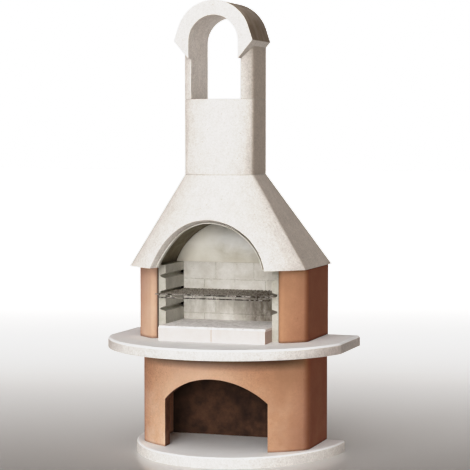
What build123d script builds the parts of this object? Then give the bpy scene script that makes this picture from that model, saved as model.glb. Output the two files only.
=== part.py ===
"""Outdoor masonry barbecue, built of cast concrete blocks that stand on one another.

Millimetres, +Z up, front towards -Y. The origin is on the ground, under the middle of the plan.
The backs of the slab, walls, worktop and hood all lie in one plane, and every depth below is
measured forwards from that plane.
"""

import os
from math import acos, atan, atan2, cos, degrees, hypot, pi, radians, sin, sqrt, tan

from build123d import *

os.makedirs("parts", exist_ok=True)

# Worktop, the widest and deepest block
worktop_width = 1134.0
worktop_side_depth = 340.0
worktop_front_depth = 772.0
worktop_thickness = 49.0
worktop_bevel = 9.0

# Base slab
slab_width = 1000.0
slab_side_depth = 25.0
slab_front_depth = 635.0
slab_height = 50.0
slab_shoulder_share = 1.15
slab_rear_radius = 20.0
slab_edge_radius = 12.0

# Lower wall with the arched log store
lower_width = 814.0
wall_thickness = 55.0
lower_side_depth = 311.0
lower_front_depth = 497.0
lower_wall_height = 452.0
lower_corner_radius = 80.0
log_arch_width = 498.0
log_arch_spring = 222.0
log_arch_rise = 109.0

# Upper walls, one on each side of the cooking niche
upper_width = 822.0
upper_side_depth = 345.0
upper_front_depth = 530.0
upper_wall_height = 335.0
upper_corner_radius = 55.0
pillar_edge_radius = 22.0
pillar_back_depth = 330.0

# Slotted side liners and scored back liners of the fire chamber
chamber_width = 516.0
liner_thickness = 41.0
liner_rise = 6.0
liner_cover = 7.0
liner_front_depth = 401.0
back_liner_front_depth = 162.0
back_liner_thickness = 40.0
slot_count = 3
slot_first_height = 136.5
slot_pitch = 76.5
slot_mouth = 24.0
slot_root = 8.0
slot_depth = 26.0
score_width = 4.0
score_depth = 2.0
brick_height = 81.0
brick_length = 190.0
brick_stagger_shares = (0.5, 0.8)

# Hearth blocks
hearth_front_depth = 500.0
hearth_height = 68.0
hearth_chamfer = 9.0

# Hood
hood_width = 852.0
hood_side_depth = 425.0
hood_front_depth = 639.0
hood_height = 425.0
hood_wall = 50.0
hood_arch_radius = 278.0
hood_arch_drop = 50.0
hood_arch_reference_depth = 565.0
hood_arch_splay = 14.0

# Chimney shaft, flue and cap
chimney_width = 334.0
chimney_rear_depth = 205.0
chimney_side_depth = 390.0
chimney_front_depth = 472.0
chimney_wall = 50.0
chimney_corner_radius = 36.0
shaft_height = 344.0
cap_leg_height = 260.0
cap_leg_thickness = 49.0
cap_roof_radius = 177.0
cap_roof_width = 376.0
cap_roof_height = 182.0
cap_roof_drop = 82.0
cap_tip_rise = 3.0

# Smoke vault inside the hood
ring_reveal = 22.0
ring_seat = 22.0
ring_thickness = 20.0
vault_radius = 317.0
vault_drop = 109.0
vault_sheet = 8.0
throat_inset = 12.0
back_plate_sheet = 6.0

# Cooking grate
grate_rod = 6.0
grate_bar = 4.0
grate_slot = 1
wire_sides = 6
grate_bearing = 18.5
grate_rear_gap = 8.0
grate_overhang = 63.0
front_rod_bearing = 28.0
grate_cross_rods = 2
bar_pitch = 17.5
weld_sink = 0.6
rail_drop = 15.0
rail_rod = 5.0
rail_corner_radius = 6.0
rail_strut_count = 5
rail_strut_pitch = 104.0

# Clearances and overruns
joint_gap = 0.5
slide_gap = 0.3
overrun = 20.0

# Levels and planes that follow from the sizes above
rear_plane = worktop_front_depth / 2
slab_top = slab_height
worktop_base = slab_top + lower_wall_height
worktop_top = worktop_base + worktop_thickness
hood_base = worktop_top + upper_wall_height
hood_top = hood_base + hood_height
shaft_top = hood_top + shaft_height
cap_arch_level = shaft_top + cap_leg_height
liner_height = upper_wall_height + liner_rise
liner_top = worktop_top + liner_height
niche_width = chamber_width + 2 * (liner_thickness - liner_cover)
back_liner_rear_depth = back_liner_front_depth - back_liner_thickness
arch_level = hood_base - hood_arch_drop
vault_level = hood_base - vault_drop
slot_heights = [worktop_top + slot_first_height + slot_pitch * n for n in range(slot_count)]
half_turn = degrees(pi)


def at_depth(depth):
    """Y of a point that lies this far in front of the rear plane."""
    return rear_plane - depth


def upright(depth):
    """Plane that faces the front at this depth, with X across and Y up."""
    return Plane(origin=(0, at_depth(depth), 0), x_dir=(1, 0, 0), z_dir=(0, -1, 0))


def bowed_outline(width, rear_depth, side_depth, front_depth, wall=0):
    """Face with a straight rear and sides and a front bowed in one arc, drawn in by a wall."""
    bow = front_depth - side_depth
    radius = ((width / 2) ** 2 + bow**2) / (2 * bow)
    half = width / 2 - wall
    corner = at_depth(front_depth - radius + sqrt((radius - wall) ** 2 - half**2))
    with BuildLine() as outline:
        Polyline(
            (half, corner),
            (half, at_depth(rear_depth + wall)),
            (-half, at_depth(rear_depth + wall)),
            (-half, corner),
        )
        ThreePointArc((-half, corner), (0, at_depth(front_depth - wall)), (half, corner))
    make_face(outline.edges())


def chimney_outline(wall=0):
    """Outline of the chimney, or of the flue in it where it is drawn in by the wall."""
    bowed_outline(
        chimney_width, chimney_rear_depth, chimney_side_depth, chimney_front_depth, wall
    )


def plan_box(x_from, x_to, depth_from, depth_to, mode=Mode.ADD):
    """Rectangle of a plan, between two distances across and two depths."""
    with Locations(((x_from + x_to) / 2, at_depth((depth_from + depth_to) / 2))):
        Rectangle(abs(x_to - x_from), abs(depth_to - depth_from), mode=mode)


# Base slab: a half-oval front, of two shoulder arcs and a nose arc, with a rounded top edge
slab_nose = slab_front_depth - slab_side_depth
shoulder_radius = slab_shoulder_share * slab_nose
shoulder_offset = shoulder_radius - slab_width / 2
nose_radius = (shoulder_radius**2 - slab_nose**2 - shoulder_offset**2) / (
    2 * (shoulder_radius - slab_nose)
)
shoulder_turn = degrees(atan2(slab_nose - nose_radius, shoulder_offset))
shoulder_line = at_depth(slab_side_depth)
with BuildPart() as base_slab:
    with BuildSketch():
        with BuildLine():
            Polyline(
                (slab_width / 2, shoulder_line),
                (slab_width / 2, at_depth(0)),
                (-slab_width / 2, at_depth(0)),
                (-slab_width / 2, shoulder_line),
            )
            CenterArc((shoulder_offset, shoulder_line), shoulder_radius, half_turn, shoulder_turn)
            CenterArc(
                (0, at_depth(slab_front_depth - nose_radius)),
                nose_radius,
                half_turn + shoulder_turn,
                half_turn - 2 * shoulder_turn,
            )
            CenterArc((-shoulder_offset, shoulder_line), shoulder_radius, -shoulder_turn, shoulder_turn)
        make_face()
    extrude(amount=slab_height)
    rear_corners = base_slab.edges().filter_by(Axis.Z).group_by(Axis.Y)[-1]
    fillet(rear_corners, slab_rear_radius)
    fillet(base_slab.faces().sort_by(Axis.Z)[-1].edges(), slab_edge_radius)
base_slab.part.label = "base_slab"
export_step(base_slab.part, "parts/base_slab.step")


# Lower wall: a bowed shell, open at the rear, with the arch of the log store cut in its front
with BuildPart() as lower_wall:
    with BuildSketch(Plane.XY.offset(slab_top)):
        bowed_outline(lower_width, 0, lower_side_depth, lower_front_depth)
    extrude(amount=lower_wall_height)
    front_corners = lower_wall.edges().filter_by(Axis.Z).group_by(Axis.Y)[0]
    fillet(front_corners, lower_corner_radius)
    with BuildSketch(Plane.XY.offset(slab_top)):
        bowed_outline(
            lower_width,
            -wall_thickness - overrun,
            lower_side_depth,
            lower_front_depth,
            wall_thickness,
        )
    extrude(amount=lower_wall_height, mode=Mode.SUBTRACT)
    with BuildSketch(upright(lower_side_depth - wall_thickness)):
        spring = slab_top + log_arch_spring
        with BuildLine():
            Polyline(
                (log_arch_width / 2, spring),
                (log_arch_width / 2, slab_top - overrun),
                (-log_arch_width / 2, slab_top - overrun),
                (-log_arch_width / 2, spring),
            )
            ThreePointArc(
                (-log_arch_width / 2, spring),
                (0, spring + log_arch_rise),
                (log_arch_width / 2, spring),
            )
        make_face()
    extrude(amount=lower_front_depth, mode=Mode.SUBTRACT)
lower_wall.part.label = "lower_wall"
export_step(lower_wall.part, "parts/lower_wall.step")


# Panels that close the rear between the side walls, below and above the worktop
lower_panel_half = lower_width / 2 - wall_thickness - joint_gap
with BuildPart() as lower_back_panel:
    with BuildSketch(Plane.XY.offset(slab_top)):
        plan_box(-lower_panel_half, lower_panel_half, 0, wall_thickness)
    extrude(amount=lower_wall_height)
lower_back_panel.part.label = "lower_back_panel"
export_step(lower_back_panel.part, "parts/lower_back_panel.step")

upper_panel_half = upper_width / 2 - wall_thickness - joint_gap
with BuildPart() as upper_back_panel:
    with BuildSketch(Plane.XY.offset(worktop_top)):
        plan_box(-upper_panel_half, upper_panel_half, 0, wall_thickness)
    extrude(amount=upper_wall_height)
upper_back_panel.part.label = "upper_back_panel"
export_step(upper_back_panel.part, "parts/upper_back_panel.step")


# Worktop: straight cut ends, a deep bowed front and a bevelled top edge
with BuildPart() as worktop:
    with BuildSketch(Plane.XY.offset(worktop_base)):
        bowed_outline(worktop_width, 0, worktop_side_depth, worktop_front_depth)
    extrude(amount=worktop_thickness)
    shown_edges = worktop.faces().sort_by(Axis.Z)[-1].edges().sort_by(Axis.Y)[:-1]
    chamfer(shown_edges, worktop_bevel)
worktop.part.label = "worktop"
export_step(worktop.part, "parts/worktop.step")


# Upper walls: a solid pillar beside the niche and a thinner side wall behind it
for side, hand in ((-1, "left"), (1, "right")):
    with BuildPart() as upper_wall:
        with BuildSketch(Plane.XY.offset(worktop_top)):
            bowed_outline(upper_width, 0, upper_side_depth, upper_front_depth)
            plan_box(
                -side * upper_width,
                side * niche_width / 2,
                -overrun,
                upper_front_depth + overrun,
                mode=Mode.SUBTRACT,
            )
            plan_box(
                0,
                side * (chamber_width / 2 + liner_thickness + joint_gap),
                -overrun,
                liner_front_depth + joint_gap,
                mode=Mode.SUBTRACT,
            )
            plan_box(
                0,
                side * (upper_width / 2 - wall_thickness),
                -overrun,
                pillar_back_depth,
                mode=Mode.SUBTRACT,
            )
        extrude(amount=upper_wall_height)
        outer_edges = upper_wall.edges().filter_by(Axis.Z).group_by(Axis.X, reverse=side > 0)[0]
        fillet(outer_edges.sort_by(Axis.Y)[0], upper_corner_radius)
        fillet(upper_wall.edges().filter_by(Axis.Z).sort_by(Axis.Y)[0], pillar_edge_radius)
    upper_wall.part.label = f"upper_wall_{hand}"
    export_step(upper_wall.part, f"parts/upper_wall_{hand}.step")


# Side liners: three tapered slots run the full depth of the inner face and carry the grate
for side, hand in ((-1, "left"), (1, "right")):
    with BuildPart() as liner:
        with BuildSketch(upright(liner_front_depth)):
            inner = side * chamber_width / 2
            with Locations((inner + side * liner_thickness / 2, worktop_top + liner_height / 2)):
                Rectangle(liner_thickness, liner_height)
            for level in slot_heights:
                with BuildLine():
                    Polyline(
                        (inner, level - slot_mouth / 2),
                        (inner + side * slot_depth, level - slot_root / 2),
                        (inner + side * slot_depth, level + slot_root / 2),
                        (inner, level + slot_mouth / 2),
                        close=True,
                    )
                make_face(mode=Mode.SUBTRACT)
        extrude(amount=back_liner_rear_depth - liner_front_depth)
    liner.part.label = f"liner_{hand}"
    export_step(liner.part, f"parts/liner_{hand}.step")


# Back liners: two plates that meet in the middle, scored like courses of brick
course_levels = [liner_top - brick_height * n for n in range(1, int(liner_height // brick_height) + 1)]
for side, hand in ((-1, "left"), (1, "right")):
    plate_inner = side * joint_gap / 2
    plate_outer = side * (chamber_width / 2 - joint_gap)
    with BuildPart() as back_liner:
        with BuildSketch(Plane.XY.offset(worktop_top)):
            plan_box(plate_inner, plate_outer, back_liner_rear_depth, back_liner_front_depth)
        extrude(amount=liner_height)
        with BuildSketch(upright(back_liner_front_depth - score_depth)):
            for level in course_levels:
                with Locations((side * chamber_width / 4, level)):
                    Rectangle(chamber_width, score_width)
            for row, level in enumerate([liner_top] + course_levels):
                offset = brick_length * brick_stagger_shares[row % len(brick_stagger_shares)]
                foot = max(level - brick_height, worktop_top)
                with Locations((side * offset, (level + foot) / 2)):
                    Rectangle(score_width, level - foot)
        extrude(amount=score_depth + overrun, mode=Mode.SUBTRACT)
    back_liner.part.label = f"liner_back_{hand}"
    export_step(back_liner.part, f"parts/liner_back_{hand}.step")


# Hearth blocks: two slabs between the side liners that stand out in front of them
for side, hand in ((-1, "left"), (1, "right")):
    block_inner = side * joint_gap / 2
    block_outer = side * (chamber_width / 2 - joint_gap)
    with BuildPart() as hearth_block:
        with BuildSketch(Plane.XY.offset(worktop_top)):
            plan_box(
                block_inner,
                block_outer,
                back_liner_front_depth + joint_gap,
                hearth_front_depth,
            )
        extrude(amount=hearth_height)
        top_front = hearth_block.faces().sort_by(Axis.Z)[-1].edges().sort_by(Axis.Y)[0]
        chamfer(top_front, hearth_chamfer)
    hearth_block.part.label = f"hearth_block_{hand}"
    export_step(hearth_block.part, f"parts/hearth_block_{hand}.step")


# Cone of the hood's bowed front: its tip is where the tapered sides would meet, and it passes
# through the middle of the front and through both front corners
tip_rise = hood_height * hood_width / (hood_width - chimney_width)
front_slope = (hood_front_depth - chimney_front_depth) / hood_height
tip_depth = hood_front_depth - front_slope * tip_rise
cone_tip = Vector(0, at_depth(tip_depth), hood_base + tip_rise)
front_ray = (Vector(0, at_depth(hood_front_depth), hood_base) - cone_tip).normalized()
corner_ray = (Vector(hood_width / 2, at_depth(hood_side_depth), hood_base) - cone_tip).normalized()
cone_axis = Vector(1, 0, 0).cross(front_ray - corner_ray).normalized()
cone_angle = radians(cone_axis.get_angle(front_ray))
cone_length = 2 * tip_rise


def tapered_body(wall=0):
    """Form of the hood, drawn in by its wall: a tilted cone, cut by plain sides and a plain rear."""
    with Locations(Plane(origin=cone_tip + cone_axis * (wall / sin(cone_angle)), z_dir=-cone_axis)):
        Cone(
            cone_length * tan(cone_angle),
            0,
            cone_length,
            align=(Align.CENTER, Align.CENTER, Align.MAX),
        )
    with BuildSketch(upright(hood_front_depth)) as front_view:
        with BuildLine() as outline:
            Polyline(
                (hood_width / 2 - wall, hood_base),
                (chimney_width / 2 - wall, hood_top),
                (-chimney_width / 2 + wall, hood_top),
                (-hood_width / 2 + wall, hood_base),
                close=True,
            )
        make_face(outline.edges())
    extrude(front_view.sketch, amount=-hood_front_depth, mode=Mode.INTERSECT)
    with BuildSketch(Plane.YZ.offset(-hood_width / 2)) as side_view:
        with BuildLine() as outline:
            Polyline(
                (at_depth(wall), hood_base),
                (at_depth(chimney_rear_depth + wall), hood_top),
                (at_depth(hood_front_depth), hood_top),
                (at_depth(hood_front_depth), hood_base),
                close=True,
            )
        make_face(outline.edges())
    extrude(side_view.sketch, amount=hood_width, mode=Mode.INTERSECT)


# Space inside the hood, from its open base up to the flue
with BuildPart() as hood_space:
    tapered_body(hood_wall)


def arch_radius(depth):
    """Radius of the splayed hood arch at this depth."""
    return hood_arch_radius - hood_arch_splay * (hood_arch_reference_depth - depth) / hood_wall


# Hood: a hollow casting that tapers on all sides to the chimney, with a splayed front arch
with BuildPart() as hood:
    tapered_body()
    side_edges = hood.faces().sort_by(Axis.X)[0].edges() + hood.faces().sort_by(Axis.X)[-1].edges()
    fillet(side_edges.group_by(Axis.Y)[0], chimney_corner_radius)
    add(hood_space.part, mode=Mode.SUBTRACT)
    arch_start = hood_front_depth + overrun
    arch_end = hood_side_depth
    with BuildSketch(upright(arch_start)):
        with Locations((0, arch_level)):
            Circle(arch_radius(arch_start))
    with BuildSketch(upright(arch_end)):
        with Locations((0, arch_level)):
            Circle(arch_radius(arch_end))
    loft(mode=Mode.SUBTRACT)
hood.part.label = "hood"
export_step(hood.part, "parts/hood.step")


# Chimney shaft round the flue
with BuildPart() as chimney_shaft:
    with BuildSketch(Plane.XY.offset(hood_top)):
        chimney_outline()
    extrude(amount=shaft_height)
    front_edges = chimney_shaft.edges().filter_by(Axis.Z).group_by(Axis.Y)[0]
    fillet(front_edges, chimney_corner_radius)
    with BuildSketch(Plane.XY.offset(hood_top)):
        chimney_outline(chimney_wall)
    extrude(amount=shaft_height, mode=Mode.SUBTRACT)
chimney_shaft.part.label = "chimney_shaft"
export_step(chimney_shaft.part, "parts/chimney_shaft.step")


# Chimney cap: two legs on the shaft and a roof, round with straight flanks, that stands out past
# them on slanted undersides
cap_opening_radius = chimney_width / 2 - cap_leg_thickness
cap_tip_level = cap_arch_level + cap_tip_rise
cap_roof_half = cap_roof_width / 2
crown_rise = cap_roof_height - cap_roof_radius
flank_turn = acos(cap_roof_radius / hypot(cap_roof_half, crown_rise))
crown_start = degrees(flank_turn - atan2(crown_rise, cap_roof_half))
with BuildPart() as chimney_cap:
    with BuildSketch(Plane.XY.offset(shaft_top)):
        chimney_outline()
    extrude(amount=cap_leg_height)
    front_edges = chimney_cap.edges().filter_by(Axis.Z).group_by(Axis.Y)[0]
    fillet(front_edges, chimney_corner_radius)
    with BuildSketch(upright(chimney_rear_depth)):
        with BuildLine():
            crown = CenterArc(
                (0, cap_tip_level + crown_rise),
                cap_roof_radius,
                crown_start,
                half_turn - 2 * crown_start,
            )
            Polyline(
                crown @ 0,
                (cap_roof_half, cap_tip_level),
                (cap_opening_radius, cap_tip_level - cap_roof_drop),
                (-cap_opening_radius, cap_tip_level - cap_roof_drop),
                (-cap_roof_half, cap_tip_level),
                crown @ 1,
            )
        make_face()
    extrude(amount=chimney_front_depth - chimney_rear_depth)
    with BuildSketch(upright(chimney_rear_depth - overrun)):
        with BuildLine():
            Polyline(
                (cap_opening_radius, cap_arch_level),
                (cap_opening_radius, shaft_top - overrun),
                (-cap_opening_radius, shaft_top - overrun),
                (-cap_opening_radius, cap_arch_level),
            )
            ThreePointArc(
                (-cap_opening_radius, cap_arch_level),
                (0, cap_arch_level + cap_opening_radius),
                (cap_opening_radius, cap_arch_level),
            )
        make_face()
    extrude(amount=chimney_front_depth, mode=Mode.SUBTRACT)
chimney_cap.part.label = "chimney_cap"
export_step(chimney_cap.part, "parts/chimney_cap.step")


# Ring behind the hood arch: follows the inside of the hood front, a little smaller than the arch
seated_space = Pos(0, joint_gap, 0) * hood_space.part
behind_ring = Pos(0, joint_gap + ring_thickness, 0) * hood_space.part
behind_vault_front = Pos(0, 2 * joint_gap + ring_thickness, 0) * hood_space.part
with BuildPart() as arch_ring:
    with BuildSketch(upright(hood_side_depth - 2 * hood_wall)):
        with Locations((0, arch_level)):
            Circle(hood_arch_radius + ring_seat)
            Circle(hood_arch_radius - ring_reveal, mode=Mode.SUBTRACT)
    extrude(amount=hood_front_depth)
    add(seated_space, mode=Mode.INTERSECT)
    add(behind_ring, mode=Mode.SUBTRACT)
arch_ring.part.label = "arch_ring"
export_step(arch_ring.part, "parts/arch_ring.step")


# Smoke vault: a half-round sheet from the ring to the back plate, open to the flue at its top
vault_base = liner_top + slide_gap
throat_half_width = chimney_width / 2 - chimney_wall - throat_inset
with BuildPart() as smoke_vault:
    with BuildSketch(upright(back_liner_front_depth - back_plate_sheet)):
        with Locations((0, vault_level)):
            Circle(vault_radius + vault_sheet)
            Circle(vault_radius, mode=Mode.SUBTRACT)
    extrude(amount=hood_front_depth)
    with BuildSketch(Plane.XY.offset(vault_base)):
        plan_box(-hood_width, hood_width, -overrun, 2 * hood_front_depth)
    extrude(amount=-2 * vault_radius, mode=Mode.SUBTRACT)
    with BuildSketch(Plane.XY.offset(vault_level)):
        plan_box(
            -throat_half_width,
            throat_half_width,
            chimney_rear_depth + chimney_wall + throat_inset,
            chimney_side_depth - throat_inset,
        )
    extrude(amount=2 * vault_radius, mode=Mode.SUBTRACT)
    add(behind_vault_front, mode=Mode.INTERSECT)
    add(hood_space.part, mode=Mode.INTERSECT)
smoke_vault.part.label = "smoke_vault"
export_step(smoke_vault.part, "parts/smoke_vault.step")


# Back plate of the vault, standing on the back liners
with BuildPart() as vault_back_plate:
    with BuildSketch(upright(back_liner_front_depth - back_plate_sheet)):
        with Locations((0, vault_level)):
            Circle(vault_radius - joint_gap)
    extrude(amount=back_plate_sheet)
    with BuildSketch(Plane.XY.offset(vault_base)):
        plan_box(-hood_width, hood_width, -overrun, hood_front_depth)
    extrude(amount=-2 * vault_radius, mode=Mode.SUBTRACT)
vault_back_plate.part.label = "vault_back_plate"
export_step(vault_back_plate.part, "parts/vault_back_plate.step")


# Cooking grate: its side rods lie on the sloped lower faces of a pair of slots
grate_width = chamber_width + 2 * grate_bearing
grate_front_depth = liner_front_depth + grate_overhang
bar_count = int(chamber_width // bar_pitch)
slot_slope = atan((slot_mouth - slot_root) / 2 / slot_depth)
rod_reach = grate_bearing - grate_rod / 2
slot_floor = slot_heights[grate_slot] - slot_mouth / 2 + rod_reach * tan(slot_slope)
rod_corner = grate_rod / 2 / cos(pi / wire_sides)
rod_level = slot_floor + (rod_corner + slide_gap) / cos(slot_slope)
bar_level = rod_level + (grate_rod + grate_bar) / 2 - weld_sink
rod_half_width = (grate_width - grate_rod) / 2
frame_rear_depth = back_liner_front_depth + grate_rear_gap
frame_front_depth = grate_front_depth - grate_rod - slide_gap
frame_middle = at_depth((frame_rear_depth + frame_front_depth) / 2)
frame_length = frame_front_depth - frame_rear_depth
cross_pitch = frame_length / (grate_cross_rods + 1)


def wire_section(diameter):
    """Section of a wire with a few flats, one of them on top."""
    turn = degrees(pi / 2 - pi / wire_sides)
    RegularPolygon(diameter / 2, wire_sides, major_radius=False, rotation=turn)


with BuildPart() as grate:
    with BuildSketch(upright(frame_front_depth)):
        with Locations((0, rod_level)):
            with GridLocations(2 * rod_half_width, 0, 2, 1):
                wire_section(grate_rod)
        with Locations((0, bar_level)):
            with GridLocations(bar_pitch, 0, bar_count, 1):
                wire_section(grate_bar)
    extrude(amount=-frame_length)
    with BuildSketch(Plane.YZ.offset(-rod_half_width)):
        with Locations((frame_middle, rod_level)):
            with GridLocations(cross_pitch, 0, grate_cross_rods, 1):
                wire_section(grate_rod)
            with GridLocations(frame_length - 2 * grate_rod, 0, 2, 1):
                wire_section(grate_rod)
    extrude(amount=2 * rod_half_width)
grate.part.label = "grate"
export_step(grate.part, "parts/grate.step")


# Front rod of the grate, long enough to stop against the fronts of the side liners
grate_front = at_depth(grate_front_depth - grate_rod / 2)
with BuildPart() as grate_front_rod:
    with Locations((0, grate_front, rod_level)):
        Cylinder(grate_rod / 2, chamber_width + 2 * front_rod_bearing, rotation=(0, 90, 0))
grate_front_rod.part.label = "grate_front_rod"
export_step(grate_front_rod.part, "parts/grate_front_rod.step")


# Front rail under the grate's front rod, bent up at both ends and held by short struts
rail_level = rod_level - rail_drop
rail_half_width = rod_half_width - rail_rod
rail_top = rod_level - grate_rod / 2 - slide_gap
with BuildPart() as grate_rail:
    with BuildLine(Plane(origin=(0, grate_front, 0), x_dir=(1, 0, 0), z_dir=(0, -1, 0))):
        FilletPolyline(
            (-rail_half_width, rail_top),
            (-rail_half_width, rail_level),
            (rail_half_width, rail_level),
            (rail_half_width, rail_top),
            radius=rail_corner_radius,
        )
    with BuildSketch(Plane.XY.offset(rail_top)):
        with Locations((-rail_half_width, grate_front)):
            wire_section(rail_rod)
    sweep()
    with BuildSketch(Plane.XY.offset(rail_level)):
        with Locations((0, grate_front)):
            with GridLocations(rail_strut_pitch, 0, rail_strut_count, 1):
                wire_section(rail_rod)
    extrude(amount=rail_top - rail_level)
grate_rail.part.label = "grate_rail"
export_step(grate_rail.part, "parts/grate_rail.step")
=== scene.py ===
from math import asin, cos, pi, radians, sin

import bmesh
import bpy
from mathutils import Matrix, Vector
from mathutils.bvhtree import BVHTree


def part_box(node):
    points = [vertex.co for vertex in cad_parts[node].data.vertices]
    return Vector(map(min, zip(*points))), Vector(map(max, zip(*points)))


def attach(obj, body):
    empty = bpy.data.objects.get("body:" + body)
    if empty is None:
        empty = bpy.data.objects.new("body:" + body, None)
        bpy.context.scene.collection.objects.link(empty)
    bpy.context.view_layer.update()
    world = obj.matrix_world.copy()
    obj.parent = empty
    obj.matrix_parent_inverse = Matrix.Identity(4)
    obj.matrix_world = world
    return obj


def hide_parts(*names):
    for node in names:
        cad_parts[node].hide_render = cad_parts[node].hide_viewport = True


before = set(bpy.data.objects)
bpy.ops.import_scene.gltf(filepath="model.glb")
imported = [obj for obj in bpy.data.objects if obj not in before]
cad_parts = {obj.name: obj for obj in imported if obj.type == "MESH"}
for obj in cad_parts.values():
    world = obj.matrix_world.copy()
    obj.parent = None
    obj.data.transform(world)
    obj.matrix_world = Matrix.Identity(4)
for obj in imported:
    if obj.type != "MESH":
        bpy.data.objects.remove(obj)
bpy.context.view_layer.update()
scene = bpy.context.scene

# Camera of the photograph, in metres and in the frame of the model
CAMERA_PLACE = (2.66522, -7.63253, 1.50198)
CAMERA_TARGET = (0.03021, 0.136, 1.02701)
CAMERA_LENS = 135.27
CAMERA_SENSOR = 36.0

# Suns: azimuth and elevation in degrees, strength, and how wide each one looks, in degrees
KEY_SUN = (9, 9, 1.78, 24)
TOP_SUN = (0, 40, 1.45, 50)

# Sky: its tones, and the heights of view between which the low one runs into the top one
SKY_TOP = (0.14, 0.12, 0.105)
SKY_LOW = (1.5, 1.5, 1.5)
SKY_LOW_TO = 0.08
SKY_TOP_FROM = 0.12

# Floor: its tones, and the distances away from the camera between which near runs into far
FLOOR_TONE = (0.62, 0.61, 0.60)
FLOOR_FAR_TONE = (0.95, 0.95, 0.95)
FLOOR_FADE = (-0.5, 7.0)
FLOOR_GLOW = 1.15
FLOOR_ROUGHNESS = 0.5
FLOOR_GLOSS = 0.16
FLOOR_SIZE = 120.0

# Response of the camera, from light to tone, and the curve that holds it
TONE_POINTS = (
    (0.04, 0.018),
    (0.1, 0.07),
    (0.25, 0.215),
    (0.6, 0.62),
    (0.78, 0.79),
    (0.95, 0.855),
    (1.15, 0.895),
    (1.5, 1.0),
)
ALL_COLOURS_CURVE = 3

# Tones of the cast concrete, and the tones that darken its sides as painted shade
CREAM = {
    "tone": (0.865, 0.815, 0.77),
    "patch_tone": (0.82, 0.77, 0.72),
    "speck_tone": (0.50, 0.44, 0.38),
    "edge_tone": (0.74, 0.70, 0.64),
}
SLAB = {**CREAM, "tone": (0.84, 0.805, 0.765), "patch_tone": (0.77, 0.735, 0.70)}
TERRACOTTA = {
    "tone": (0.64, 0.385, 0.24),
    "patch_tone": (0.55, 0.32, 0.195),
    "speck_tone": (0.27, 0.13, 0.075),
    "edge_tone": (0.64, 0.42, 0.29),
}
CREAM_SIDE_SHADE = (0.63, 0.58, 0.53)
SLAB_SIDE_SHADE = (0.98, 0.97, 0.96)
WORKTOP_SIDE_SHADE = (0.73, 0.68, 0.66)
TERRACOTTA_SIDE_SHADE = (0.62, 0.43, 0.41)

# Tones of the marks on the cast concrete
JOINT_TONE = (0.30, 0.27, 0.24)
# Painted shade with rain streaks on the outside of the cap's roof
ROOF_SHADE_AND_STREAKS = (0.34, 0.275, 0.215)
# Painted light on the tops of the slab and the worktop
TOP_LIGHT_TONE = (0.96, 0.965, 0.97)
# Painted light on the middle of the lower wall and on the left pillar, painted shade on the wall's
# right end and on the right pillar
TERRACOTTA_LIT = (0.73, 0.51, 0.385)
TERRACOTTA_SHADED = (0.41, 0.235, 0.14)
PILLAR_LIT = (0.60, 0.42, 0.32)
BLOOM_TONE = (0.74, 0.56, 0.45)
# Painted shade in the gaps beside, above and under the terracotta pieces, and under the worktop
GAP_SHADE_TONE = (0.09, 0.055, 0.04)
# Painted shade on the inside of the log store and on the inner faces of the rear panels
STORE_SHADE_TONE = (0.042, 0.024, 0.017)
JAMB_SHADE_TONE = (0.16, 0.075, 0.045)

# Tones of the marks on the liners and the hearth
# Painted shade in the scored lines and painted shadow under the grate, on the back liners
LINER_SHADOW_TONE = (0.30, 0.28, 0.24)
LINER_SHADE = (0.17, 0.145, 0.115)
# Painted light on the top of the hearth
HEARTH_TOP_LIGHT = (0.95, 0.93, 0.925)
ASH_TONE = (0.55, 0.53, 0.52)
CINDER_TONE = (0.13, 0.12, 0.11)
# Darker, browner tone of the end faces of the hearth blocks, below their tops
BLOCK_END_TONE = (0.50, 0.395, 0.34)

# Tones of the marks on the sheets inside the hood
# Painted highlight on the ring's front face, and painted shadow in the gap behind its outer edge
RING_EDGE_HIGHLIGHT = (0.86, 0.85, 0.82)
RING_GAP_SHADE = (0.06, 0.055, 0.045)
# Painted reflection in a band on the back plate, and painted light on its left end
PLATE_SHEEN = (0.83, 0.825, 0.81)
PLATE_LEFT_LIT = (0.96, 0.93, 0.85)
PLATE_HAZE = (0.50, 0.46, 0.38)

# Limits between which most of the noise lies
NOISE_LOW = 0.3
NOISE_HIGH = 0.7
# Least share of a normal along an axis for a face that looks that way
TURNED_FROM = 0.5
# Agreement of a rounded normal with the plain one, where wear starts and where it is full
EDGE_AGREEMENT = (0.995, 0.93)
EDGE_SAMPLES = 4
# Share of an outward normal along X, where the painted shade of a side starts and where it is full
SIDE_TURN = (0.62, 0.95)
# Share of a normal along Y, where the shade under the worktop starts and where it is full
WALL_FRONT_TURN = (-0.5, -0.85)
# Sockets that share their names with others on the same node
RANGE_LIMITS = slice(1, 5)
MIX_FIRST, MIX_SECOND, MIX_RESULT = 6, 7, 2

# How much of what is under it each mark covers where it is strongest
WEAR_SHARE = 0.75
JOINT_SHARE = 0.35
PILLAR_FOOT_SHARE = 0.7
WALL_SHADE_SHARE = 0.85
WALL_FOOT_SHARE = 0.6
BLOOM_SHARE = 0.8
SOOT_SHARE = 0.35
FLECK_SHARE = 0.5
LINER_WEAR_SHARE = 0.7
GRATE_SHADOW_SHARE = 0.6
HEARTH_TOP_LIGHT_SHARE = 0.9
ASH_SHARE = 0.5
CINDER_SHARE = 0.8
RING_HIGHLIGHT_SHARE = 0.8
PLATE_BAND_SHARE = 0.7
PLATE_LEFT_SHARE = 0.9
PLATE_HAZE_SHARE = 0.65

# Depths of the bumps, in metres, beside those that each concrete gives
TROWEL_DEPTH = 0.0008
FLECK_DEPTH = 0.0004
GRAIN_DEPTH = 0.00008
PLATING_DEPTH = 0.00006

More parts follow.
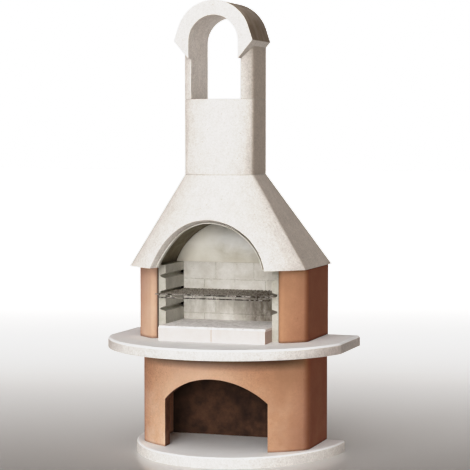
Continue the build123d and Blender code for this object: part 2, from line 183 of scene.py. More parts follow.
# Places of the marks, in metres
CAST_WEAR_REACH = 0.005
LINER_WEAR_REACH = 0.004
JOINT_REACH = 0.003
ROOF_HEIGHT = 0.182
ROOF_SHADE_FROM = 0.172
ROOF_FOOT = 0.001
STORE_HALF = 0.2505
PILLAR_SIDE_GAP = 0.005
PILLAR_TOP_GAP = 0.009
PILLAR_FOOT_GAP = 0.014
WALL_LIT_MIDDLE = -0.06
WALL_LIT_REACH = 0.3
WALL_SHADED_RIGHT = (0.08, 0.3)
WALL_SHADE_DROPS = (0.082, 0.040)
WALL_FOOT_GAP = 0.012
BLOOM_HEIGHT = 0.34
BLOOM_WANDER = 0.12
BLOOM_FADE = (-0.1, 0.3)
SCORE_DEPTHS = (0.001, 0.003)
GRATE_SHADOW_LENGTH = 0.15
SHADE_ACROSS = (-0.02, 0.11)
ASH_DEPTH = 0.012
RING_OUTER_RADIUS = 0.300
RING_GAP_FROM = 0.2605
PLATE_BAND_RISE = 0.12
PLATE_BAND_REACH = 0.07
PLATE_WANDER = 0.03
PLATE_LEFT_ACROSS = (-0.05, -0.17)
PLATE_HAZE_HEIGHT = 0.09

# Softening of the CAD meshes: distances in metres, angles in degrees
WELD_DISTANCE = 0.00002
FLAT_ANGLE = 0.4
SHARP_ANGLE = 28
CAST_SEGMENTS = 3

# Wires of the grate, in metres: diameters, places and the bends of the rail. The cross rods lie at
# shares of its length, with the two outer ones moved in by a rod.
ROD = 0.006
BAR = 0.004
RAIL = 0.005
BAR_PITCH = 0.0175
BAR_COUNT = 29
CROSS_SHARES = (-0.5, -1 / 6, 1 / 6, 0.5)
STRUT_PITCH = 0.104
STRUT_COUNT = 5
BEND_RADIUS = 0.006
BEND_STEPS = 6
WIRE_RINGS = 3
# Width of a six-sided CAD wire over its flats, as a share of the width over its corners
FLATS_SHARE = cos(pi / 6)

# Lip of the steel ring, in metres: it stands forward from the ring into the arch of the hood
LIP_SHEET = 0.0028
LIP_REACH = 0.026
LIP_SEAT = 0.006
LIP_GAP = 0.001
LIP_CAST_RADIUS = 0.262
LIP_CAST_FROM = -1
REARWARD = Vector((0, 1, 0))
LIP_END_TURN = 0.012
LIP_SEGMENTS = 112
LIP_EDGE = LIP_SHEET / 4
LIP_EDGE_SEGMENTS = 2
# Arch of the hood: its radius at this place along Y, how it narrows towards the rear, and the drop
# of its centre below the hood
ARCH_RADIUS = 0.278
ARCH_SPLAY = 0.28
ARCH_FRONT = -0.179
ARCH_DROP = 0.050


def top_of(node):
    """Height of the top of a node."""
    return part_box(node)[1][2]


def foot_of(node):
    """Height of the foot of a node."""
    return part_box(node)[0][2]


class Nodes:
    """A node tree, with short calls that add nodes and wire them up."""

    def __init__(self, tree):
        self.tree = tree

    def add(self, kind, **settings):
        made = self.tree.nodes.new(kind)
        for name, value in settings.items():
            setattr(made, name, value)
        return made

    def put(self, socket, value):
        """Links a socket to a node's output, or sets it to a constant."""
        if isinstance(value, bpy.types.NodeSocket):
            self.tree.links.new(value, socket)
        elif hasattr(value, "__len__") and len(value) == 3 and socket.type == "RGBA":
            socket.default_value = (*value, 1)
        else:
            socket.default_value = value

    def maths(self, operation, first, second=0):
        made = self.add("ShaderNodeMath", operation=operation)
        self.put(made.inputs[0], first)
        self.put(made.inputs[1], second)
        return made.outputs["Value"]

    def size_of(self, value):
        """A value without its sign."""
        return self.maths("ABSOLUTE", value)

    def over(self, value, limit):
        """One where a value is greater than a limit, and nought elsewhere."""
        return self.maths("GREATER_THAN", value, limit)

    def under(self, value, limit):
        """One where a value is less than a limit, and nought elsewhere."""
        return self.maths("LESS_THAN", value, limit)

    def most(self, *values):
        """Greatest of several values."""
        greatest = values[0]
        for value in values[1:]:
            greatest = self.maths("MAXIMUM", greatest, value)
        return greatest

    def times(self, *values):
        """Product of several values."""
        product = values[0]
        for value in values[1:]:
            product = self.maths("MULTIPLY", product, value)
        return product

    def spread(self, value, low, high, to_low=0, to_high=1):
        """A value between two limits, spread over a new range and held at its ends."""
        made = self.add("ShaderNodeMapRange")
        self.put(made.inputs["Value"], value)
        for socket, limit in zip(made.inputs[RANGE_LIMITS], (low, high, to_low, to_high)):
            self.put(socket, limit)
        return made.outputs["Result"]

    def near(self, value, middle, reach):
        """One at a middle value, falling to nought this far from it."""
        distance = self.size_of(self.maths("SUBTRACT", value, middle))
        return self.spread(distance, 0, reach, 1, 0)

    def mix(self, share, first, second, blend="MIX"):
        made = self.add("ShaderNodeMix", data_type="RGBA", blend_type=blend)
        self.put(made.inputs["Factor"], share)
        self.put(made.inputs[MIX_FIRST], first)
        self.put(made.inputs[MIX_SECOND], second)
        return made.outputs[MIX_RESULT]

    def scaled(self, tones, factor):
        """Tones multiplied by a value, or by other tones."""
        return self.mix(1.0, tones, factor, "MULTIPLY")

    def part_of(self, vector, axis):
        """One of the three numbers of a vector."""
        made = self.add("ShaderNodeSeparateXYZ")
        self.put(made.inputs["Vector"], vector)
        return made.outputs[axis]


class Surface(Nodes):
    """A material, with calls for what lies on a surface and where it lies."""

    def __init__(self, name, roughness, metallic=0.0):
        self.material = bpy.data.materials.new(name)
        self.material.use_nodes = True
        super().__init__(self.material.node_tree)
        self.shader = self.tree.nodes["Principled BSDF"]
        self.shader.inputs["Roughness"].default_value = roughness
        self.shader.inputs["Metallic"].default_value = metallic
        where = self.add("ShaderNodeTexCoord")
        self.place = where.outputs["Object"]
        self.facing = where.outputs["Normal"]

    def stretched(self, scale):
        """The place on the object, scaled by a different amount along each axis."""
        made = self.add("ShaderNodeVectorMath", operation="MULTIPLY")
        self.put(made.inputs[0], self.place)
        self.put(made.inputs[1], scale)
        return made.outputs["Vector"]

    def noise(self, scale, detail=3, roughness=0.5, place=None, distortion=0):
        made = self.add("ShaderNodeTexNoise")
        self.put(made.inputs["Vector"], place or self.place)
        self.put(made.inputs["Scale"], scale)
        self.put(made.inputs["Detail"], detail)
        self.put(made.inputs["Roughness"], roughness)
        self.put(made.inputs["Distortion"], distortion)
        return made.outputs["Fac"]

    def drift(self, scale, low, high, detail=4, roughness=0.6):
        """Noise that wanders between two values."""
        noise = self.noise(scale, detail, roughness)
        return self.spread(noise, NOISE_LOW, NOISE_HIGH, low, high)

    def spots(self, scale, size, share):
        """Round spots of a size that is a share of their spacing, in some of the cells."""
        cells = self.add("ShaderNodeTexVoronoi")
        self.put(cells.inputs["Vector"], self.place)
        self.put(cells.inputs["Scale"], scale)
        inside = self.spread(cells.outputs["Distance"], size, size / 2)
        draw = self.add("ShaderNodeSeparateColor")
        self.put(draw.inputs["Color"], cells.outputs["Color"])
        return self.times(inside, self.under(draw.outputs["Red"], share))

    def along(self, axis):
        """Distance along one axis of the frame, in metres."""
        return self.part_of(self.place, axis)

    def rise(self, level):
        """Height over a level, in metres."""
        return self.maths("SUBTRACT", self.along("Z"), level)

    def from_axis(self, level):
        """Distance from the line that runs along Y through the middle of the part at a level."""
        flat = self.add("ShaderNodeCombineXYZ")
        self.put(flat.inputs["X"], self.along("X"))
        self.put(flat.inputs["Z"], self.rise(level))
        length = self.add("ShaderNodeVectorMath", operation="LENGTH")
        self.put(length.inputs[0], flat.outputs["Vector"])
        return length.outputs["Value"]

    def line(self, level, reach, share=1):
        """A share at one level, falling to nought this far above and below it."""
        return self.times(self.near(self.along("Z"), level, reach), share)

    def faces(self, axis):
        """How far the surface faces along an axis, from minus one to one."""
        return self.part_of(self.facing, axis)

    def turned(self, axis):
        """One where the surface faces along an axis, either way, and nought elsewhere."""
        return self.over(self.size_of(self.faces(axis)), TURNED_FROM)

    def fronts(self):
        """One where the surface faces the front, and nought elsewhere."""
        return self.under(self.faces("Y"), -TURNED_FROM)

    def edges(self, reach):
        """One on the edges of the piece, falling to nought this far from them."""
        rounded = self.add("ShaderNodeBevel", samples=EDGE_SAMPLES)
        self.put(rounded.inputs["Radius"], reach)
        plain = self.add("ShaderNodeNewGeometry")
        agree = self.add("ShaderNodeVectorMath", operation="DOT_PRODUCT")
        self.put(agree.inputs[0], rounded.outputs["Normal"])
        self.put(agree.inputs[1], plain.outputs["Normal"])
        return self.spread(agree.outputs["Value"], *EDGE_AGREEMENT)

    def relief(self, height, depth, under=None):
        """Bump of a height from 0 to 1 and a depth in metres, on top of another bump."""
        made = self.add("ShaderNodeBump")
        self.put(made.inputs["Height"], height)
        self.put(made.inputs["Distance"], depth)
        if under:
            self.put(made.inputs["Normal"], under)
        return made.outputs["Normal"]

    def complete(self, tones, normal):
        """Gives the shader its tones and its normal, and returns the material."""
        self.put(self.shader.inputs["Base Color"], tones)
        self.put(self.shader.inputs["Normal"], normal)
        return self.material


def cast_concrete(
    name, tone, patch_tone, speck_tone, edge_tone, sand_depth, speck_share, marks, side_shade_tone=None
):
    """Sandy cast concrete: patches, sand, pits, worn edges, its own marks, and painted shade on
    its sides.
    """
    made = Surface(name, roughness=0.92)
    patches = made.spread(made.noise(scale=5, detail=5, roughness=0.62), low=0.36, high=0.68)
    tones = made.mix(patches, tone, patch_tone)
    clouds = made.drift(scale=24, low=0.93, high=1.05, detail=5, roughness=0.65)
    mottling = made.drift(scale=95, low=0.86, high=1.08, roughness=0.65)
    sand = made.drift(scale=320, low=0.82, high=1.1, detail=2, roughness=0.5)
    tones = made.scaled(tones, made.times(clouds, mottling, sand))
    specks = made.spots(scale=190, size=0.24, share=speck_share)
    pits = made.spots(scale=75, size=0.2, share=speck_share / 3)
    specks = made.most(specks, pits)
    tones = made.mix(specks, tones, speck_tone)
    worn = made.spread(made.noise(scale=90, detail=3, roughness=0.6), low=0.42, high=0.6)
    wear = made.times(made.edges(CAST_WEAR_REACH), worn, WEAR_SHARE)
    tones = marks(made, made.mix(wear, tones, edge_tone))
    # Painted shade: faces turned outward along X are darkened with the side tone.
    if side_shade_tone:
        outward = made.times(made.maths("SIGN", made.along("X")), made.faces("X"))
        shaded_sides = made.scaled(tones, side_shade_tone)
        tones = made.mix(made.spread(outward, *SIDE_TURN), tones, shaded_sides)
    coarse_sand = made.noise(scale=120, detail=3, roughness=0.6)
    fine_sand = made.noise(scale=640, detail=2, roughness=0.7)
    coarse = made.relief(coarse_sand, sand_depth)
    fine = made.relief(fine_sand, sand_depth / 3, coarse)
    chipped = made.relief(wear, -sand_depth / 2, fine)
    return made.complete(tones, made.relief(specks, -sand_depth / 2, chipped))


def joint_marks(made, tones):
    """Dark lines of the joints above and below the chimney shaft."""
    for level in (top_of("chimney_shaft"), top_of("hood")):
        tones = made.mix(made.line(level, JOINT_REACH, JOINT_SHARE), tones, JOINT_TONE)
    return tones


def roof_marks(made, tones):
    """Joint lines, and painted shade with rain streaks on the outside of the round roof of the
    cap.
    """
    centre = top_of("chimney_cap") - ROOF_HEIGHT
    outside = made.over(made.from_axis(centre), ROOF_SHADE_FROM)
    above = made.over(made.rise(centre), ROOF_FOOT)
    sideways = made.maths("SUBTRACT", 1, made.turned("Y"))
    streaks = made.noise(scale=26, detail=4, roughness=0.6, place=made.stretched((1.0, 1.0, 0.3)))
    shade_streaks = made.spread(streaks, low=0.25, high=0.6, to_low=0.72)
    tones = made.mix(made.times(outside, above, sideways, shade_streaks), tones, ROOF_SHADE_AND_STREAKS)
    return joint_marks(made, tones)


def top_marks(made, tones):
    """Tops made lighter as painted light, more in some places than in others."""
    lit_tops = made.times(made.turned("Z"), made.drift(scale=8, low=0.8, high=1.0))
    return made.mix(lit_tops, tones, TOP_LIGHT_TONE)


def store_marks(made, tones):
    """Painted shade on the inside of the log store: its jambs, its vault and the back of the wall.
    """
    within = made.under(made.size_of(made.along("X")), STORE_HALF)
    inside = made.over(made.faces("Y"), -TURNED_FROM)
    share = made.times(within, inside, made.drift(scale=14, low=0.8, high=1.0))
    return made.mix(share, tones, made.mix(made.turned("X"), STORE_SHADE_TONE, JAMB_SHADE_TONE))


def panel_marks(made, tones):
    """Painted shade on the face that a rear panel turns to the inside."""
    share = made.times(made.fronts(), made.drift(scale=14, low=0.85, high=1.0))
    return made.mix(share, tones, STORE_SHADE_TONE)


def pillar_marks(made, tones):
    """A left pillar painted paler and pinker as painted light, a right one painted deeper as
    painted shade, and painted shade in the gaps around both.
    """
    wander = made.drift(scale=9, low=0.6, high=1.0)
    across = made.along("X")
    tones = made.mix(made.times(made.under(across, 0), wander), tones, PILLAR_LIT)
    tones = made.mix(made.times(made.over(across, 0), wander), tones, TERRACOTTA_SHADED)
    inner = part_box("upper_wall_right")[0][0]
    # Painted shade beside the pillars, under the hood and along their foot
    beside = made.near(made.size_of(across), inner, PILLAR_SIDE_GAP)
    beneath_hood = made.line(top_of("upper_wall_left"), PILLAR_TOP_GAP)
    foot = made.line(foot_of("upper_wall_left"), PILLAR_FOOT_GAP, PILLAR_FOOT_SHARE)
    return made.mix(made.most(beside, beneath_hood, foot), tones, GAP_SHADE_TONE)


def foot_bloom(made, tones):
    """Pale bloom that rises from the foot of the lower wall, and wanders with the patches."""
    foot = foot_of("lower_wall")
    wander = made.drift(scale=6, low=-BLOOM_WANDER, high=BLOOM_WANDER)
    level = made.maths("ADD", made.along("Z"), wander)
    rising = made.spread(level, foot, foot + BLOOM_HEIGHT, to_low=BLOOM_SHARE, to_high=0)
    patches = made.spread(
        made.noise(scale=11, detail=4, roughness=0.6), low=0.4, high=0.7, to_low=0.25
    )
    left = made.spread(made.along("X"), *BLOOM_FADE, to_low=1, to_high=0.35)
    return made.mix(made.times(rising, patches, left), tones, BLOOM_TONE)


def wall_marks(made, tones):
    """Painted light on the middle and painted shade on the right end of the lower wall, its bloom,
    painted shade under the worktop and along its foot, and painted shade on its inside.
    """
    wander = made.drift(scale=7, low=0.55, high=1.0)
    middle = made.near(made.along("X"), WALL_LIT_MIDDLE, WALL_LIT_REACH)
    tones = made.mix(made.times(middle, wander), tones, TERRACOTTA_LIT)
    right = made.spread(made.along("X"), *WALL_SHADED_RIGHT)
    tones = made.mix(made.times(right, wander), tones, TERRACOTTA_SHADED)
    tones = foot_bloom(made, tones)
    front = made.spread(made.faces("Y"), *WALL_FRONT_TURN)
    shade_from, shade_to = (top_of("lower_wall") - drop for drop in WALL_SHADE_DROPS)
    shade = made.spread(made.along("Z"), shade_from, shade_to, to_high=WALL_SHADE_SHARE)
    # Painted shade along the foot of the wall
    foot = made.line(foot_of("lower_wall"), WALL_FOOT_GAP, WALL_FOOT_SHARE)
    tones = made.mix(made.most(made.times(front, shade), foot), tones, GAP_SHADE_TONE)
    return store_marks(made, tones)


def refractory(name, tone, patch_tone, edge_tone, soot_tone, soot_from, soot_to, marks=None):
    """Smooth refractory concrete with blotches, and soot that thickens towards one height."""
    made = Surface(name, roughness=0.88)
    blotches = made.noise(scale=16, detail=5, roughness=0.64, distortion=0.4)
    tones = made.mix(made.spread(blotches, low=0.34, high=0.68), tone, patch_tone)
    sand = made.drift(scale=420, low=0.9, high=1.07, detail=3, roughness=0.5)
    tones = made.scaled(tones, sand)
    smoke = made.spread(made.noise(scale=7, detail=4, roughness=0.6), low=0.35, high=0.75)
    level = made.spread(made.along("Z"), soot_from, soot_to)
    tones = made.mix(made.times(level, smoke, SOOT_SHARE), tones, soot_tone)
    flecks = made.spots(scale=120, size=0.22, share=0.14)
    tones = made.mix(made.times(flecks, FLECK_SHARE), tones, soot_tone)
    worn = made.spread(made.noise(scale=110), low=0.35, high=0.6)
    wear = made.times(made.edges(LINER_WEAR_REACH), worn, LINER_WEAR_SHARE)
    tones = made.mix(wear, tones, edge_tone)
    if marks:
        tones = marks(made, tones)
    coarse = made.relief(made.noise(scale=60, detail=4, roughness=0.6), TROWEL_DEPTH)
    return made.complete(tones, made.relief(flecks, -FLECK_DEPTH, coarse))


def score_marks(made, tones):
    """Painted shade in the scored lines, and painted shadow of the grate, streaked, on the back
    liners just under it.
    """
    near_depth, far_depth = (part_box("liner_back_left")[0][1] + depth for depth in SCORE_DEPTHS)
    inside = made.over(made.along("Y"), near_depth)
    before = made.under(made.along("Y"), far_depth)
    groove_shade = made.spread(made.noise(scale=60), low=0.3, high=0.65, to_low=0.1, to_high=0.5)
    tones = made.mix(made.times(inside, before, groove_shade), tones, LINER_SHADOW_TONE)
    level = foot_of("grate")
    below = made.under(made.along("Z"), level)
    fading = made.spread(made.along("Z"), level, level - GRATE_SHADOW_LENGTH, to_low=1, to_high=0.2)
    grate_shadow = made.noise(scale=30, detail=4, roughness=0.65, place=made.stretched((1.0, 1.0, 0.35)))
    grate_shadow = made.spread(grate_shadow, low=0.36, high=0.62)
    share = made.times(below, fading, grate_shadow, GRATE_SHADOW_SHARE)
    tones = made.mix(share, tones, LINER_SHADOW_TONE)
    right = made.spread(made.along("X"), *SHADE_ACROSS)
    streaks = made.noise(scale=36, detail=4, roughness=0.7, place=made.stretched((1.0, 1.0, 0.5)))
    streaks = made.spread(streaks, low=0.3, high=0.6, to_low=0.5)
    return made.mix(made.times(below, right, streaks), tones, LINER_SHADE)


def ash_marks(made, tones):
    """Painted light on the top of the hearth, grey ash and cinders on it, and the end faces of
    each block darker and browner below the top.
    """
    top = made.turned("Z")
    tones = made.mix(made.times(top, HEARTH_TOP_LIGHT_SHARE), tones, HEARTH_TOP_LIGHT)
    ash = made.spread(made.noise(scale=34, detail=5, roughness=0.7), low=0.45, high=0.6)
    tones = made.mix(made.times(top, ash, ASH_SHARE), tones, ASH_TONE)
    cinders = made.spots(scale=60, size=0.24, share=0.12)
    tones = made.mix(made.times(top, cinders, CINDER_SHARE), tones, CINDER_TONE)
    low = made.under(made.along("Z"), top_of("hearth_block_left") - ASH_DEPTH)
    end_patches = made.noise(scale=70, detail=4, roughness=0.6)
    end_patches = made.spread(end_patches, low=0.25, high=0.5, to_low=0.75)
    return made.mix(made.times(made.turned("X"), low, end_patches), tones, BLOCK_END_TONE)


def smoked_sheet(name, tone, stain_tone, roughness, marks=None):
    """Dull sheet with a fine brushed grain and smoke stains."""
    made = Surface(name, roughness)
    stains = made.noise(scale=11, detail=5, roughness=0.65, distortion=0.8)
    tones = made.mix(made.spread(stains, low=0.35, high=0.66), tone, stain_tone)
    grain = made.noise(scale=60, detail=3, roughness=0.6, place=made.stretched((1.0, 14.0, 14.0)))
    tones = made.scaled(tones, made.spread(grain, NOISE_LOW, NOISE_HIGH, 0.93, 1.05))
    if marks:
        tones = marks(made, tones)
    dullness = made.spread(grain, 0.2, 0.8, roughness, roughness + 0.2)
    made.put(made.shader.inputs["Roughness"], dullness)
    return made.complete(tones, made.relief(grain, GRAIN_DEPTH))


def ring_marks(made, tones):
    """The ring's front face painted bright as a painted highlight, and painted shadow in the gap
    between it and the hood.
    """
    front = made.fronts()
    tones = made.mix(made.times(front, RING_HIGHLIGHT_SHARE), tones, RING_EDGE_HIGHLIGHT)
    centre = top_of("arch_ring") - RING_OUTER_RADIUS
    gap = made.over(made.from_axis(centre), RING_GAP_FROM)
    return made.mix(made.times(front, gap), tones, RING_GAP_SHADE)


def plate_marks(made, tones):
    """A band painted lighter as a painted reflection, a left end painted lighter as painted light,
    and the plate darker and browner towards its foot.
    """
    foot = foot_of("vault_back_plate")
    wander = made.drift(scale=5, low=-PLATE_WANDER, high=PLATE_WANDER)
    level = made.maths("ADD", made.along("Z"), wander)
    band = made.near(level, foot + PLATE_BAND_RISE, PLATE_BAND_REACH)
    tones = made.mix(made.times(band, PLATE_BAND_SHARE), tones, PLATE_SHEEN)
    left = made.spread(made.along("X"), *PLATE_LEFT_ACROSS, to_high=PLATE_LEFT_SHARE)
    tones = made.mix(left, tones, PLATE_LEFT_LIT)
    haze = made.spread(level, foot, foot + PLATE_HAZE_HEIGHT, PLATE_HAZE_SHARE, 0)
    return made.mix(haze, tones, PLATE_HAZE)


def plated_wire(name, tone, grime_tone, grime_from, grime_to):
    """Plated wire, dulled by heat and grease in places."""
    made = Surface(name, roughness=0.3, metallic=1.0)
    grime = made.noise(scale=60, detail=4, roughness=0.6)
    grime = made.spread(grime, grime_from, grime_to)
    dullness = made.spread(grime, 0, 1, to_low=0.22, to_high=0.6)
    made.put(made.shader.inputs["Roughness"], dullness)
    tones = made.mix(grime, tone, grime_tone)
    return made.complete(tones, made.relief(made.noise(scale=700, detail=2), PLATING_DEPTH))


render_coat = cast_concrete(
    "cream_render",
    **CREAM,
    sand_depth=0.0026,
    speck_share=0.2,
    marks=joint_marks,
    side_shade_tone=CREAM_SIDE_SHADE,
)
cap_coat = cast_concrete(
    "cap_render",
    **CREAM,
    sand_depth=0.0014,
    speck_share=0.2,
    marks=roof_marks,
    side_shade_tone=CREAM_SIDE_SHADE,
)
paving, top_paving = (
    cast_concrete(
        name, **SLAB, sand_depth=0.0011, speck_share=0.26, marks=top_marks, side_shade_tone=side_shade_tone
    )
    for name, side_shade_tone in (("cream_slab", SLAB_SIDE_SHADE), ("cream_worktop", WORKTOP_SIDE_SHADE))
)
wall_terracotta = cast_concrete(
    "terracotta_cast",
    **TERRACOTTA,
    sand_depth=0.0008,
    speck_share=0.6,
    marks=wall_marks,
    side_shade_tone=TERRACOTTA_SIDE_SHADE,
)
panel_terracotta = cast_concrete(
    "terracotta_panel", **TERRACOTTA, sand_depth=0.0006, speck_share=0.2, marks=panel_marks
)
pillar_terracotta = cast_concrete(
    "terracotta_pillar",
    **TERRACOTTA,
    sand_depth=0.0006,
    speck_share=0.16,
    marks=pillar_marks,
    side_shade_tone=TERRACOTTA_SIDE_SHADE,
)
liner = refractory(
    "liner_grey",
    tone=(0.61, 0.59, 0.53),
    patch_tone=(0.49, 0.47, 0.41),
    edge_tone=(0.72, 0.70, 0.64),
    soot_tone=(0.14, 0.125, 0.095),
    soot_from=1.02,
    soot_to=0.62,
)
back_liner = refractory(
    "back_liner_grey",
    tone=(0.69, 0.665, 0.62),
    patch_tone=(0.54, 0.51, 0.46),
    edge_tone=(0.76, 0.74, 0.69),
    soot_tone=(0.20, 0.18, 0.155),
    soot_from=0.70,
    soot_to=1.15,
    marks=score_marks,
)
hearth = refractory(
    "hearth_pink",
    tone=(0.72, 0.655, 0.625),
    patch_tone=(0.65, 0.585, 0.555),
    edge_tone=(0.78, 0.74, 0.71),
    soot_tone=(0.30, 0.27, 0.24),
    soot_from=0.615,
    soot_to=0.80,
    marks=ash_marks,
)
vault_sheet = smoked_sheet(
    "vault_sheet", tone=(0.30, 0.265, 0.195), stain_tone=(0.14, 0.12, 0.085), roughness=0.6
)
ring_sheet = smoked_sheet(
    "ring_sheet",
    tone=(0.50, 0.475, 0.41),
    stain_tone=(0.36, 0.335, 0.28),
    roughness=0.5,
    marks=ring_marks,
)
plate_sheet = smoked_sheet(
    "plate_sheet",
    tone=(0.72, 0.70, 0.65),
    stain_tone=(0.52, 0.495, 0.43),
    roughness=0.5,
    marks=plate_marks,
)
lip_steel = smoked_sheet(
    "lip_steel", tone=(0.80, 0.78, 0.73), stain_tone=(0.60, 0.57, 0.50), roughness=0.4
)
dark_wire = plated_wire(
    "grate_wire",
    tone=(0.57, 0.53, 0.48),
    grime_tone=(0.20, 0.175, 0.15),
    grime_from=0.35,
    grime_to=0.65,
)
rail_wire = plated_wire(
    "rail_wire",
    tone=(0.54, 0.51, 0.47),
    grime_tone=(0.07, 0.06, 0.05),
    grime_from=0.42,
    grime_to=0.54,
)

# Material of each CAD node that shows, and how far its edges are rounded, in metres
DRESS = {
    "base_slab": (paving, 0.002),
    "worktop": (top_paving, 0.0018),
    "lower_wall": (wall_terracotta, 0.0025),
    "lower_back_panel": (panel_terracotta, 0.0025),
    "upper_wall_left": (pillar_terracotta, 0.0025),
    "upper_wall_right": (pillar_terracotta, 0.0025),
    "upper_back_panel": (panel_terracotta, 0.0025),
    "liner_left": (liner, 0.0016),
    "liner_right": (liner, 0.0016),
    "liner_back_left": (back_liner, 0.0008),
    "liner_back_right": (back_liner, 0.0008),
    "hearth_block_left": (hearth, 0.0025),
    "hearth_block_right": (hearth, 0.0025),
    "hood": (render_coat, 0.003),
    "chimney_shaft": (render_coat, 0.0025),
    "chimney_cap": (cap_coat, 0.0025),
    "arch_ring": (ring_sheet, 0.0015),
    "smoke_vault": (vault_sheet, 0.001),
    "vault_back_plate": (plate_sheet, 0.001),
}


def round_edges(piece, width, segments):
    """Rounds the sharp edges of a piece, and returns the modifier."""
    edge = piece.modifiers.new("edge", "BEVEL")
    edge.width = width
    edge.segments = segments
    edge.limit_method = "ANGLE"
    edge.angle_limit = radians(SHARP_ANGLE)
    return edge


def dress(node, material, width):
    """Gives a CAD node its material, and softens its edges with modifiers on its own mesh."""
    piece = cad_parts[node]
    piece.data.materials.clear()
    piece.data.materials.append(material)
    weld = piece.modifiers.new("weld", "WELD")
    weld.merge_threshold = WELD_DISTANCE
    flat = piece.modifiers.new("flat", "DECIMATE")
    flat.decimate_type = "DISSOLVE"
    flat.angle_limit = radians(FLAT_ANGLE)
    round_edges(piece, width, CAST_SEGMENTS).harden_normals = True


def show(name, data):
    """A new object in the scene, from its data."""
    made = bpy.data.objects.new(name, data)
    scene.collection.objects.link(made)
    return made


def wires(name, runs, diameter, material, nodes):
    """Round wires along runs of points, as one piece that stands for some nodes of the grate."""
    curve = bpy.data.curves.new(name, "CURVE")
    curve.dimensions = "3D"
    curve.bevel_depth = diameter / 2
    curve.bevel_resolution = WIRE_RINGS
    curve.use_fill_caps = True
    for run in runs:
        spline = curve.splines.new("POLY")
        spline.points.add(len(run) - 1)
        for point, place in zip(spline.points, run):
            point.co = (*place, 1)
    curve.materials.append(material)
    piece = show(name, curve)
    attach(piece, "cooking_grate")
    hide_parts(*nodes)


def spaced(count, pitch):
    """Places at even steps about the middle."""
    return [(n - (count - 1) / 2) * pitch for n in range(count)]


def add_grate():
    """The cooking grate: bars on rods, the long front rod, and the front rail on its struts."""
    low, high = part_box("grate")
    side = high[0] - ROD / 2 / FLATS_SHARE
    rod_level = low[2] + ROD / 2
    bar_level = high[2] - BAR / 2
    front, rear = low[1], high[1]
    middle, length = (front + rear) / 2, rear - front
    bars = [((x, front, bar_level), (x, rear, bar_level)) for x in spaced(BAR_COUNT, BAR_PITCH)]
    wires("grate_bars", bars, BAR, dark_wire, ["grate"])
    rods = [((x, front, rod_level), (x, rear, rod_level)) for x in (-side, side)]
    for share in CROSS_SHARES:
        at_end = share in (CROSS_SHARES[0], CROSS_SHARES[-1])
        y = middle + share * (length - 2 * ROD if at_end else length)
        rods.append(((-side, y, rod_level), (side, y, rod_level)))
    wires("grate_rods", rods, ROD, dark_wire, ["grate"])

    low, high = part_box("grate_front_rod")
    y = (low[1] + high[1]) / 2
    front_rod = ((low[0], y, rod_level), (high[0], y, rod_level))
    wires("front_rod", [front_rod], ROD, rail_wire, ["grate_front_rod"])

    low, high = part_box("grate_rail")
    end, rail_level, top = high[0] - RAIL / 2 / FLATS_SHARE, low[2] + RAIL / 2, high[2]
    half = []
    for step in range(BEND_STEPS + 1):
        turn = pi / 2 * step / BEND_STEPS
        across = end - BEND_RADIUS * (1 - sin(turn))
        half.append((across, y, rail_level + BEND_RADIUS * (1 - cos(turn))))
    half.append((end, y, top))
    rail = [(-x, y, z) for x, y, z in reversed(half)] + half
    struts = [((x, y, rail_level), (x, y, top)) for x in spaced(STRUT_COUNT, STRUT_PITCH)]
    wires("front_rail", [rail] + struts, RAIL, rail_wire, ["grate_rail"])


def lip_section(turn, centre, ring_surface):
    """Corners of the lip's section at one turn of the arch, seated on the face of the ring."""

    def place(radius, y):
        return Vector((radius * cos(turn), y, centre + radius * sin(turn)))

    seen_from = place(LIP_CAST_RADIUS, LIP_CAST_FROM)
    face = ring_surface.ray_cast(seen_from, REARWARD)[0].y
    outer = ARCH_RADIUS - ARCH_SPLAY * (face - ARCH_FRONT) - LIP_GAP
    inner = outer - LIP_SHEET
    front, rear = face - LIP_REACH, face + LIP_SEAT
    return place(outer, front), place(inner, front), place(inner, rear), place(outer, rear)


def add_ring_lip():
    """The ring's thin front lip, a sheet strip bent along the arch, that sits on its face."""
    centre = foot_of("hood") - ARCH_DROP
    ring_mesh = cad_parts["arch_ring"].data
    corners = [vertex.co for vertex in ring_mesh.vertices]
    ring_surface = BVHTree.FromPolygons(corners, [face.vertices for face in ring_mesh.polygons])
    start = asin(ARCH_DROP / LIP_CAST_RADIUS) + LIP_END_TURN
    shape = bmesh.new()
    sections = []
    for step in range(LIP_SEGMENTS + 1):
        turn = start + (pi - 2 * start) * step / LIP_SEGMENTS
        section = lip_section(turn, centre, ring_surface)
        sections.append([shape.verts.new(corner) for corner in section])
    for one, other in zip(sections, sections[1:]):
        for n in range(len(one)):
            after = (n + 1) % len(one)
            shape.faces.new((one[n], one[after], other[after], other[n]))
    shape.faces.new(sections[0])
    shape.faces.new(list(reversed(sections[-1])))
    bmesh.ops.recalc_face_normals(shape, faces=shape.faces)
    mesh = bpy.data.meshes.new("ring_lip")
    shape.to_mesh(mesh)
    shape.free()
    mesh.materials.append(lip_steel)
    piece = show("ring_lip", mesh)
    round_edges(piece, LIP_EDGE, LIP_EDGE_SEGMENTS)
    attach(piece, "structure")


def set_response():
    """Sets the camera's response, its end before the points between."""
    view = scene.view_settings
    view.view_transform = "Standard"
    view.use_curve_mapping = True
    points = view.curve_mapping.curves[ALL_COLOURS_CURVE].points
    view.curve_mapping.clip_max_x = TONE_POINTS[-1][0]
    points[-1].location = TONE_POINTS[-1]
    for light, tone in TONE_POINTS[:-1]:
        points.new(light, tone)
    view.curve_mapping.update()


def aim(thing, direction, axis):
    """Turns one axis of an object along a direction."""
    thing.rotation_mode = "QUATERNION"
    thing.rotation_quaternion = direction.to_track_quat(axis, "Y")


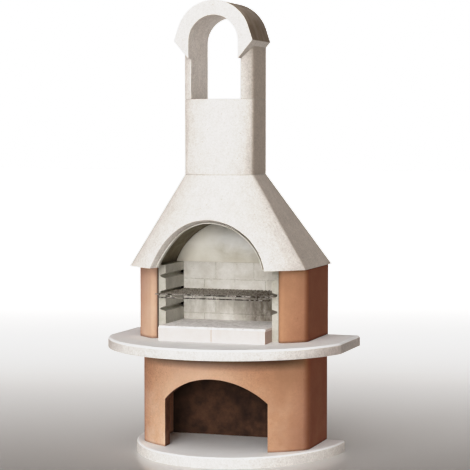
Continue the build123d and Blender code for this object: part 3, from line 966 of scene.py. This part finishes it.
def add_sun(name, azimuth, elevation, strength, width):
    """A sun at an azimuth to the right of the front, and at an elevation."""
    lamp = bpy.data.lights.new(name, "SUN")
    lamp.energy = strength
    lamp.angle = radians(width)
    turn, rise = radians(azimuth), radians(elevation)
    towards_sun = Vector((sin(turn) * cos(rise), -cos(turn) * cos(rise), sin(rise)))
    aim(show(name, lamp), towards_sun, "Z")


def add_sky():
    """Pale near the horizon, as a studio's far wall, and dimmer overhead."""
    world = bpy.data.worlds.new("studio")
    scene.world = world
    world.use_nodes = True
    sky = Nodes(world.node_tree)
    height = sky.part_of(sky.add("ShaderNodeTexCoord").outputs["Generated"], "Z")
    tones = sky.mix(sky.spread(height, SKY_LOW_TO, SKY_TOP_FROM), SKY_LOW, SKY_TOP)
    sky.put(world.node_tree.nodes["Background"].inputs["Color"], tones)


def add_floor():
    """Pale floor, brighter far away, so that it runs into the far wall without a line."""
    made = Surface("pale_floor", FLOOR_ROUGHNESS)
    behind = (Vector(CAMERA_TARGET) - Vector(CAMERA_PLACE)) * Vector((1, 1, 0))
    away = made.add("ShaderNodeVectorMath", operation="DOT_PRODUCT")
    made.put(away.inputs[0], made.place)
    made.put(away.inputs[1], behind.normalized())
    far = made.spread(away.outputs["Value"], *FLOOR_FADE)
    shader = made.shader.inputs
    made.put(shader["Base Color"], made.mix(far, FLOOR_TONE, FLOOR_FAR_TONE))
    made.put(shader["Emission Color"], FLOOR_FAR_TONE)
    made.put(shader["Emission Strength"], made.times(far, FLOOR_GLOW))
    made.put(shader["Coat Weight"], made.maths("SUBTRACT", 1, far))
    made.put(shader["Coat Roughness"], FLOOR_GLOSS)
    bpy.ops.mesh.primitive_plane_add(size=FLOOR_SIZE)
    floor = bpy.context.object
    floor.name = "floor"
    floor.data.materials.append(made.material)


def add_camera():
    lens = bpy.data.cameras.new("camera")
    lens.lens = CAMERA_LENS
    lens.sensor_width = CAMERA_SENSOR
    camera = show("camera", lens)
    camera.location = CAMERA_PLACE
    aim(camera, Vector(CAMERA_TARGET) - camera.location, "-Z")
    scene.camera = camera


for node, (material, width) in DRESS.items():
    dress(node, material, width)
add_grate()
add_ring_lip()
set_response()
add_floor()
add_sky()
add_sun("key_sun", *KEY_SUN)
add_sun("top_sun", *TOP_SUN)
add_camera()
